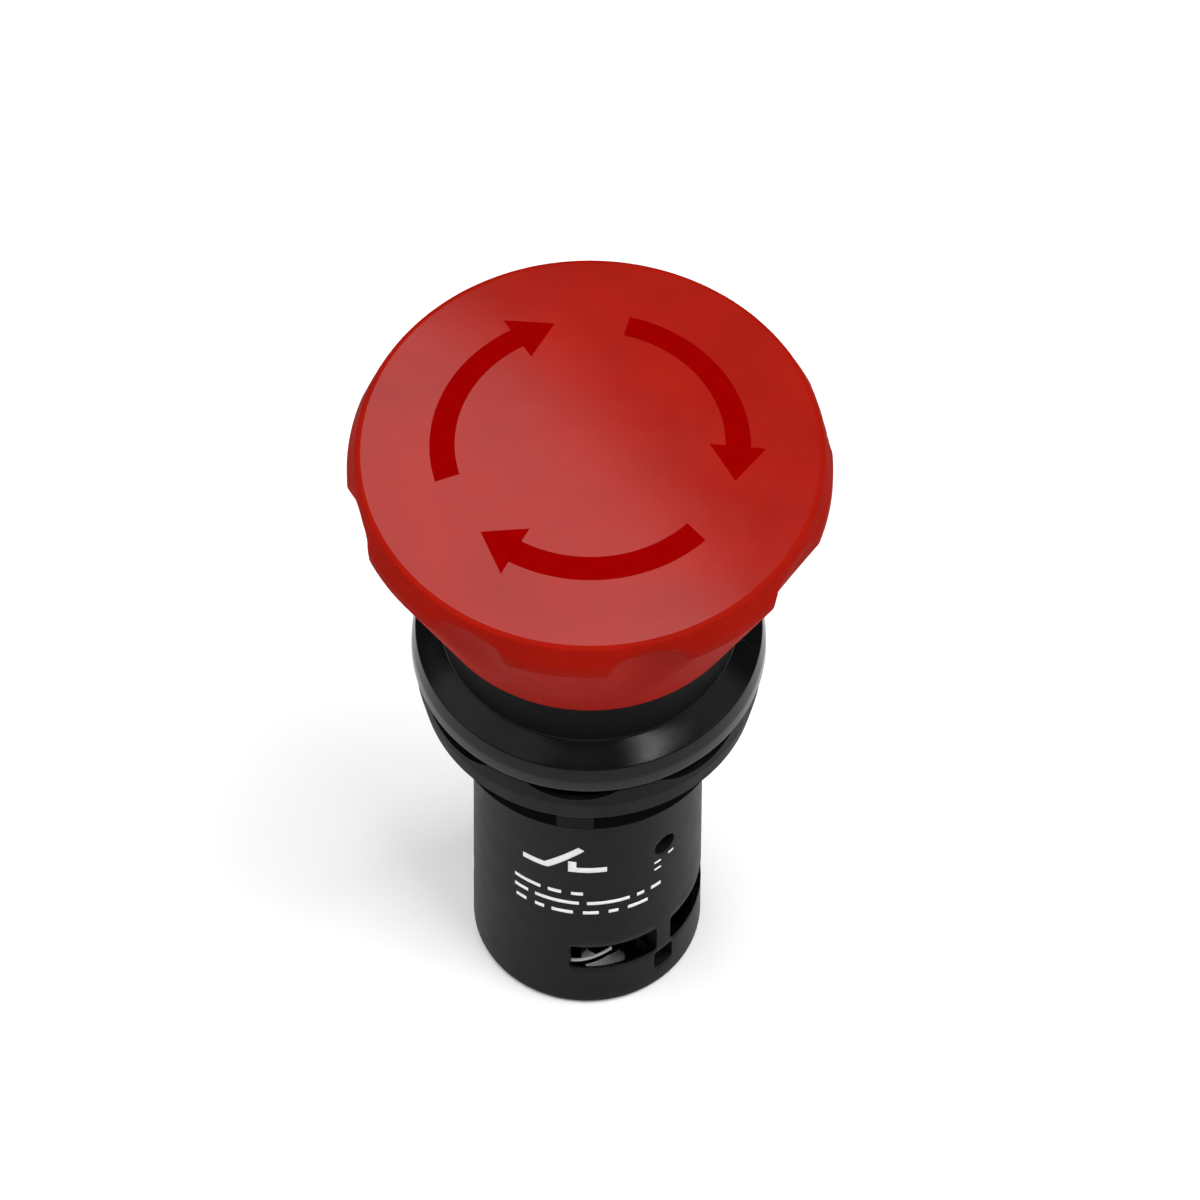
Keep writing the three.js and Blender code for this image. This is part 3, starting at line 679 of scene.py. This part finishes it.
def make_washer():
    low, high = box_mm("clamp_washer")
    inner, outer = SPIGOT_RADIUS + 0.2, 12.2
    corners = [(inner, low.z, 0.06), (outer, low.z, 0.06), (outer, high.z, 0.1), (inner, high.z, 0.1)]

    def pull(radius, angle, height):
        """Draws the inner edge in to make a tongue for each of the barrel's key grooves."""
        in_tongue = np.abs(nearest_turn(angle, BODY_TURN, KEYS)) * 10.0 < TONGUE_HALF_WIDTH
        return np.where(in_tongue & (radius < inner + 0.3), radius - TONGUE_LENGTH, radius)

    washer = revolved("clamp_washer_ring", outline(corners, step=0.6), segments=360, pull=pull)
    soften(washer, width=0)
    place(washer, ZINC, "washer", "zinc_steel", "clamp_washer")


NOTCHES = 8
NOTCH_FIRST = math.radians(-95)
NOTCH_RADIUS = 6.0
NOTCH_LOW_Z = 39.2
COLLAR_RADIUS = 11.7
SKIRT_BASE_Z = 34.9
LUG_RADIUS = 12.4
LUG_LOW_Z = 31.7
LUG_ANGLES = (math.radians(-102), math.radians(-87.5))


def make_nut():
    crest, groove = 9.75, 10.5
    corners = [
        (crest, NUT_COLLAR_Z, 0.1),
        (COLLAR_RADIUS, NUT_COLLAR_Z, 0.22),
        (COLLAR_RADIUS, SKIRT_BASE_Z, 0.12),
        (13.4, SKIRT_BASE_Z, 0.15),
        (13.9, 35.7, 0.3),
        (14.37, 38.2, 1.6),
        (14.6, NUT_TOP_Z, 0.12),
        (14.15, NUT_TOP_Z, 0.08),
        (13.8, 37.4, 0.2),
        (12.9, 37.4, 0.2),
        (12.9, NUT_TOP_Z, 0.08),
        (12.4, NUT_TOP_Z, 0.08),
        (12.4, 39.95, 0.1),
        (groove + 0.1, 39.95, 0.15),
        (groove, 39.2, 0.1),
        (groove, 30.85, 0.1),
        (crest, 30.85, 0.1),
    ]
    nut = revolved("lock_nut_shell", outline(corners, step=0.6), segments=288)
    for k in range(NOTCHES):
        turn = NOTCH_FIRST + k * TAU / NOTCHES
        axis_z = NOTCH_LOW_Z + NOTCH_RADIUS
        cut_from(nut, round_pin("notch", NOTCH_RADIUS, 13.3, 16, turn, axis_z, segments=96))
    lug = sector_prism("lug", 11.4, LUG_RADIUS, *LUG_ANGLES, LUG_LOW_Z, SKIRT_BASE_Z + 0.2, corner=0.2)
    nut = joined("lock_nut_shell", [nut, lug])
    soften(nut, width=0)
    place(nut, BLACK_MATT, "nut", "black_plastic", "lock_nut")
    # The collar wall under the skirt gets the darker unglossed black, painted shade for the shadow beneath
    # the skirt's overhang.
    nut.data.materials.append(BLACK_PAINTED_SHADE)
    for face in nut.data.polygons:
        middle = face.center / MM
        in_shaded_collar = abs(math.hypot(middle.x, middle.y) - COLLAR_RADIUS) < 0.25
        face.material_index = int(in_shaded_collar and NUT_COLLAR_Z + 0.1 < middle.z < SKIRT_BASE_Z)
    section = thread_section(groove, crest, 0.25)
    thread = helix_ridge("lock_nut_thread", section, THREAD_END_Z + 0.9, 3.4, lambda angle: 1.0)
    thread.data.transform(Matrix.Rotation(-0.05 * TAU, 4, "Z"))
    soften(thread, width=0.05)
    place(thread, BLACK_MATT, "nut", "black_plastic")


# ---------------------------------------------------------------- rear body
WINDOW_ANGLES = (math.radians(4.5), math.radians(51.5))
WINDOW_Z = (5.6, 8.9)
SLOT_Z = (2.7, 5.1)
PIN_Z = 21.2
PIN_RADIUS = 1.1
SNAP_Z = 32.2  # ridge round the body's spigot
SPIGOT_TOP_Z = 33.4
SPIGOT_OUTER = 8.15
FLOOR_Z = (9.3, 10.0)
WALL_LOW_Z = 1.7
WING_RADIUS = 7.85
STRIP_SLOT_X = (2.7, 7.2)
STRIP_SLOT_Y = (1.4, 3.8)
CUT_RADII = (7.6, 10.5)
TERMINALS = ((1, -1), (1, 1), (-1, 1), (-1, -1))
TERMINAL_X = 4.9
TERMINAL_Y = 2.6


def make_housing():
    corners = [
        (BORE_RADIUS, BODY_FOOT_Z, 0.1),
        (8.8, BODY_FOOT_Z, 0.1),
        (BODY_RADIUS, BODY_FOOT_Z + 0.1, 0.9),
        (BODY_RADIUS, NUT_COLLAR_Z, 0.25),
        (SPIGOT_OUTER, NUT_COLLAR_Z, 0.15),
        (SPIGOT_OUTER, SNAP_Z - 0.3, 0.1),
        (SPIGOT_OUTER + 0.3, SNAP_Z, 0.1),
        (SPIGOT_OUTER, SNAP_Z + 0.3, 0.1),
        (SPIGOT_OUTER, SPIGOT_TOP_Z, 0.2),
        (7.5, SPIGOT_TOP_Z, 0.2),
        (7.5, 29.6, 0.3),
        (BORE_RADIUS, 28.8, 0.3),
    ]
    housing = revolved("rear_housing_shell", outline(corners, step=1.0), segments=256)
    for side in (0, math.pi):
        turn = BODY_TURN + side
        for sign in (1, -1):
            ends = sorted(turn + sign * angle for angle in WINDOW_ANGLES)
            cut_from(housing, sector_prism("window", *CUT_RADII, *ends, *WINDOW_Z, corner=0.4, sink=1.3))
        half = math.asin(1.0 / BODY_RADIUS)
        cut_from(housing, sector_prism("slot", *CUT_RADII, turn - half, turn + half, *SLOT_Z, corner=0.3))
        cut_from(housing, round_pin("pin hole", PIN_RADIUS, *CUT_RADII, turn, PIN_Z))
    soften(housing, width=0.14, angle=40)
    place(housing, BLACK_FINE, "body", "black_plastic", "rear_housing")


def make_terminal_chamber():
    """Floor between the contacts and the terminals, and the two walls that part the terminals."""
    low, high = FLOOR_Z
    inner, outer = 2.0, BORE_RADIUS + 0.1
    section = [Vector(corner) for corner in ((inner, low), (outer, low), (outer, high), (inner, high))]
    floor = revolved("terminal_floor", section)
    for sx, sy in TERMINALS:
        opening = block("slot", *span(sx, *STRIP_SLOT_X), *span(sy, *STRIP_SLOT_Y), low - 1, high + 1)
        cut_from(floor, opening)
    hub = block("terminal_walls", -1.2, 1.2, -8.2, 8.2, WALL_LOW_Z, low)
    rib = block("centre_rib", -6.6, 6.6, -0.4, 0.4, WALL_LOW_Z, low)
    for piece in (floor, hub, rib):
        piece.data.transform(Matrix.Rotation(BODY_TURN, 4, "Z"))
        soften(piece, width=0.1)
        place(piece, BLACK_FINE, "body", "black_plastic")


def span(side, near, far):
    """A stretch of an axis on its positive or negative side."""
    return (near, far) if side > 0 else (-far, -near)


def block(name, x0, x1, y0, y1, z0, z1):
    """A plain box, for a wall inside the body or to cut with."""
    corners = [(x, y, z) for x in (x0, x1) for y in (y0, y1) for z in (z0, z1)]
    faces = [(0, 1, 3, 2), (4, 6, 7, 5), (0, 4, 5, 1), (2, 3, 7, 6), (0, 2, 6, 4), (1, 5, 7, 3)]
    return new_object(name, corners, faces)


def post(name, radius, x, y, low, high, segments=64):
    """An upright round bar that stands off the axis."""
    profile = [Vector((0, low)), Vector((radius, low)), Vector((radius, high)), Vector((0, high))]
    bar = revolved(name, profile, segments=segments, closed=False)
    bar.data.transform(Matrix.Translation(Vector((x, y, 0)) * MM))
    return bar


def make_cover():
    """Round plate with four driver holes and two hooks that snap into the body's slots."""
    edge, top = BORE_RADIUS - 0.15, 1.4
    corners = [(0, BODY_FOOT_Z, 0), (edge, BODY_FOOT_Z, 0.2), (edge, top, 0.2), (0, top, 0)]
    profile = outline(corners, step=2, closed=False)
    cover = revolved("rear_cover_plate", profile, segments=192, closed=False)
    for sx, sy in TERMINALS:
        cut_from(cover, post("driver hole", 1.9, sx * TERMINAL_X, sy * TERMINAL_Y, -1, 3))
    hooks = []
    half = 0.8 / 7.8
    for side in (0, math.pi):
        hooks.append(sector_prism("hook", 7.0, 8.0, side - half, side + half, 1.2, 4.9, corner=0.15))
        hooks.append(sector_prism("barb", 7.9, 8.9, side - half, side + half, 3.3, 4.6, corner=0.2))
    cover = joined("rear_cover_plate", [cover, *hooks])
    cover.data.transform(Matrix.Rotation(BODY_TURN, 4, "Z"))
    soften(cover, width=0.12)
    place(cover, BLACK_FINE, "body", "black_plastic", "rear_cover")


def make_screw(number, sx, sy):
    """Clamp screw with a domed head and a cross recess that faces the rear."""
    corners = [(0, 3, 0), (1.15, 3, 0.2), (1.75, 3.75, 0.5), (1.75, 4.95, 0.1), (0.7, 4.95, 0.05)]
    corners += [(0.7, 9.15, 0.1), (0.6, 9.25, 0), (0, 9.25, 0)]
    profile = outline(corners, closed=False)
    screw = revolved(f"terminal_screw_head_{number}", profile, segments=64, closed=False)
    long, short = (-1.1, 1.1), (-0.22, 0.22)
    for across, along in ((long, short), (short, long)):
        cut_from(screw, block("slot", *across, *along, 2, 3.9))
    screw.data.transform(Matrix.Translation(Vector((sx * TERMINAL_X, sy * TERMINAL_Y, 0)) * MM))
    screw.data.transform(Matrix.Rotation(BODY_TURN, 4, "Z"))
    soften(screw, width=0.05)
    place(screw, DARK_STEEL, "body", "zinc_steel", f"terminal_screw_{number}")


def make_clamp_plate(sx, sy):
    """Saddle that a terminal screw pulls up, with its outer edge rolled up."""
    path = outline([(2.7, 5.25, 0), (6.6, 5.25, 0.9), (6.75, 6.4, 0)], closed=False)
    across = Vector((0, sy, 0))
    frames = []
    for i, point in enumerate(path):
        along = (path[min(i + 1, len(path) - 1)] - path[max(i - 1, 0)]).normalized()
        frames.append((across, Vector((-sx * along.y, 0, along.x))))
    centres = [Vector((sx * p.x, sy * TERMINAL_Y, p.y)) for p in path]
    half, thin = 1.12, 0.22
    section = [(-half, -thin), (half, -thin), (half, thin), (-half, thin)]
    plate = swept("plate", section, centres, frames)
    return cut_from(plate, post("screw hole", 0.85, sx * TERMINAL_X, sy * TERMINAL_Y, 4, 7))


def make_clamp_wing(sx, sy):
    """Wing of the saddle, which follows the body's wall and drops as it goes round."""
    low_end, high_end = 4.0, 5.75
    count = 30
    centres, frames = [], []
    for k, turn in enumerate(np.linspace(math.radians(27), math.radians(55), count)):
        out = Vector((sx * math.cos(turn), sy * math.sin(turn), 0))
        rise = (1 - k / (count - 1)) ** 1.8
        height = low_end + (high_end - low_end) * rise
        centres.append(out * WING_RADIUS + Vector((0, 0, height)))
        frames.append((out, Vector((0, 0, 1))))
    half = 0.2
    section = [(-half, -0.6), (half, -0.6)]
    for k in range(7):
        round_top = k * math.pi / 6
        section.append((half * math.cos(round_top), half * math.sin(round_top) - 0.1))
    return swept("wing", section, centres, frames)


def make_clamp(number, sx, sy):
    """Dark steel saddle and wing, with the wing's upward-facing edge faces in near-white as a painted
    highlight.
    """
    clamp = joined(f"terminal_saddle_{number}", [make_clamp_plate(sx, sy), make_clamp_wing(sx, sy)])
    clamp.data.transform(Matrix.Rotation(BODY_TURN, 4, "Z"))
    soften(clamp, width=0.06)
    place(clamp, DARK_STEEL, "body", "zinc_steel", f"terminal_clamp_{number}")
    clamp.data.materials.append(PAINTED_HIGHLIGHT_EDGE)
    # Upward-facing faces of the wing get the painted highlight colour.
    for face in clamp.data.polygons:
        on_wing = math.hypot(face.center.x, face.center.y) / MM > WING_RADIUS - 0.25
        face.material_index = int(on_wing and face.normal.z > 0.3)


# ---------------------------------------------------------------- marks on the body
def stroke(points, thick):
    """A line of print on the body through (degrees from the front, height) points."""
    route = []
    for (start, low), (end, high) in zip(points, points[1:]):
        route += [(start + (end - start) * k / 10, low + (high - low) * k / 10) for k in range(10)]
    route.append(points[-1])
    outs = [Vector((math.cos(math.radians(a - 90)), math.sin(math.radians(a - 90)), 0)) for a, _ in route]
    skin = BODY_RADIUS - 0.04
    centres = [out * skin + Vector((0, 0, height)) for out, (_, height) in zip(outs, route)]
    frames = []
    for i, out in enumerate(outs):
        along = (centres[min(i + 1, len(centres) - 1)] - centres[max(i - 1, 0)]).normalized()
        frames.append((out, out.cross(along)))
    section = [(-0.05, -thick / 2), (0.055, -thick / 2), (0.055, thick / 2), (-0.05, thick / 2)]
    return swept("stroke", section, centres, frames)


def make_white_print():
    """The general sign for a normally closed contact, over rows of plain dashes."""
    level = 20.9
    signs = [
        [(-34, level), (-21, level), (-3, level + 3.2)],
        [(-7.5, level - 0.35), (-7.5, level + 1.2)],
        [(-7.5, level), (10, level)],
    ]
    strokes = [stroke(points, 0.7) for points in signs]
    rows = [
        [(-39, -24), (-20, -13), (-8, -2)],
        [(-39, -31), (-27, -4), (0, 22), (26, 30), (34, 40)],
        [(-38, -32), (-27, -22), (-18, -7), (-2, 6), (11, 16), (21, 32)],
    ]
    for number, words in enumerate(rows):
        height = 17.2 - 1.45 * number
        strokes += [stroke([(start, height), (end, height)], 0.45) for start, end in words]
    small_dashes = [(36, 40, 18.2), (36, 40, 19.2), (45, 48.5, 19.4)]
    strokes += [stroke([(start, height), (end, height)], 0.25) for start, end, height in small_dashes]
    place(joined("contact_sign_print", strokes), WHITE_PRINT, "body", "black_plastic")


# ---------------------------------------------------------------- springs
COILS = 4
FLAT_COIL = 0.6  # part of a turn that lies flat at each end
RETURN_COIL = (5.9, 0.4)  # radius of the coil, then of its wire
TWIST_COIL = (6.3, 0.35)
CONTACT_COIL = (0.75, 0.18)


def coil(name, radius, wire, low, high, centre=(0, 0)):
    """A compression spring of round wire whose end coils lie flat."""
    steps = COILS * 48
    centres, frames = [], []
    for i in range(steps + 1):
        turns = COILS * i / steps
        angle = turns * TAU
        climb = min(1, max(0, (turns - FLAT_COIL) / (COILS - 2 * FLAT_COIL)))
        out = Vector((math.cos(angle), math.sin(angle), 0))
        height = low + wire + (high - low - 2 * wire) * climb
        centres.append(Vector((*centre, 0)) + out * radius + Vector((0, 0, height)))
        frames.append((out, Vector((0, 0, 1))))
    return swept(name, ring_points(wire, 16), centres, frames)


def make_springs():
    low, high = (v.z for v in box_mm("return_spring"))
    main = coil("return_spring_wire", *RETURN_COIL, low, high)
    place(main, WIRE, "body", "spring_steel", "return_spring")
    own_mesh(main)
    low, high = (v.z for v in box_mm("twist_spring"))
    twist = coil("twist_spring_wire", *TWIST_COIL, low, high)
    place(twist, WIRE, "body", "spring_steel", "twist_spring")
    for number in (1, 2):
        node = f"contact_spring_{number}"
        low, high = box_mm(node)
        middle = (low + high) / 2
        small = coil(f"{node}_wire", *CONTACT_COIL, low.z, high.z, centre=(middle.x, middle.y))
        place(small, WIRE, "plunger", "spring_steel", node)


# ---------------------------------------------------------------- pieces carried over from the CAD model
FOUR = (1, 2, 3, 4)
CARRIED = [
    (GREY, "grey_plastic", ["actuator_stem", "guide_plate"]),
    (IVORY, "ivory_plastic", ["contact_carrier"]),
    (RUBBER, "rubber", ["stem_seal"]),
    (ZINC, "zinc_steel", ["head_screw"]),
    (WIRE, "spring_steel", ["latch_spring"]),
    (BRASS, "brass", ["contact_bridge_1", "contact_bridge_2", *(f"terminal_strip_{n}" for n in FOUR)]),
    (SILVER, "silver", [f"{kind}_tip_{n}" for kind in ("moving", "fixed") for n in FOUR]),
]


def finish_carried():
    """Materials and slightly rounded edges for the nodes whose CAD shape is right."""
    for material, slot, names in CARRIED:
        for name in names:
            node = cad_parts[name]
            for holder in node.material_slots:
                holder.material = material
            weld = node.modifiers.new("weld", "WELD")
            weld.merge_threshold = 0.001 * MM
            bevel = node.modifiers.new("soft edges", "BEVEL")
            bevel.width = 0.06 * MM
            bevel.segments = 2
            bevel.limit_method = "ANGLE"
            bevel.angle_limit = math.radians(40)


make_head()
for arrow in range(ARROWS):
    make_arrow(arrow + 1, arrow * TAU / ARROWS)
make_barrel()
make_gasket()
make_washer()
make_nut()
make_housing()
make_terminal_chamber()
make_cover()
for index, terminal in enumerate(TERMINALS):
    make_screw(index + 1, *terminal)
    make_clamp(index + 1, *terminal)
make_white_print()
make_springs()
finish_carried()


# ---------------------------------------------------------------- floor, light and camera
def make_floor():
    edge = 6000.0  # far beyond the camera's view
    corners = [(-edge, -edge, 0), (edge, -edge, 0), (edge, edge, 0), (-edge, edge, 0)]
    floor = new_object("studio_floor", corners, [(0, 1, 2, 3)])
    recipe = Recipe("pale_floor", 0.9, specular=0.05)
    tone = recipe.blend(recipe.noise(400), (0.92, 0.92, 0.92), (0.935, 0.935, 0.935))
    floor.data.materials.append(recipe.finish(tone))


def softbox(name, centre, target, width, height, radiance, roll=0.0):
    """A rectangular area light of the given radiance that faces its target, sizes in metres."""
    light = bpy.data.lights.new(name, "AREA")
    light.shape = "RECTANGLE"
    light.size = width
    light.size_y = height
    light.energy = 4 * width * height * radiance
    lamp = bpy.data.objects.new(name, light)
    aim = (Vector(target) - Vector(centre)).to_track_quat("-Z", "Y").to_matrix().to_4x4()
    lamp.matrix_world = Matrix.Translation(centre) @ aim @ Matrix.Rotation(roll, 4, "Z")
    bpy.context.scene.collection.objects.link(lamp)


def light_scene():
    world = bpy.data.worlds.new("studio")
    world.use_nodes = True
    background = world.node_tree.nodes["Background"]
    background.inputs["Color"].default_value = (1, 1, 1, 1)
    background.inputs["Strength"].default_value = 0.05
    bpy.context.scene.world = world
    softbox("overhead", (-0.715, 0.3, 1.0), (-0.715, 0.3, 0), 1.6, 2.2, 1.35, math.radians(30))
    softbox("high front", (0.3, -0.55, 2.2), (0, 0, 0), 1.5, 1.3, 1.7)
    softbox("low front", (0.0, -1.9, 1.25), (0, 0, 0), 1.0, 0.7, 0.8)
    softbox("left", (-1.8, -0.3, 0.9), (0, 0, 0.05), 1.2, 1.0, 1.1)
    softbox("right", (1.8, -0.3, 0.9), (0, 0, 0.05), 1.2, 1.0, 1.0)
    softbox("spark", (0.68, -0.24, 0.96), (0, 0, 0.045), 1.2, 0.08, 25.0)


ELEVATION = math.radians(56.6)
CAMERA_DISTANCE = 1750.0
FOCAL_LENGTH = 639.0  # long, for next to no perspective
CAMERA_ROLL = math.radians(0.44)
AIM_ACROSS = 0.904
AIM_BELOW_RIM = 10.908  # along the camera's own up direction


def set_camera():
    forward = Vector((0, math.cos(ELEVATION), -math.sin(ELEVATION)))
    up = Vector((0, math.sin(ELEVATION), math.cos(ELEVATION)))
    target = Vector((AIM_ACROSS, 0, RIM_Z)) - AIM_BELOW_RIM * up
    right = forward.cross(up)
    turn = Matrix((right, up, -forward)).transposed().to_4x4()
    camera = bpy.data.cameras.new("camera")
    camera.lens = FOCAL_LENGTH
    camera.sensor_width = 36
    camera.clip_start = 0.05
    holder = bpy.data.objects.new("camera", camera)
    bpy.context.scene.collection.objects.link(holder)
    station = Matrix.Translation((target - forward * CAMERA_DISTANCE) * MM)
    holder.matrix_world = station @ turn @ Matrix.Rotation(CAMERA_ROLL, 4, "Z")
    bpy.context.scene.camera = holder


make_floor()
light_scene()
set_camera()
bpy.context.scene.view_settings.view_transform = "Standard"
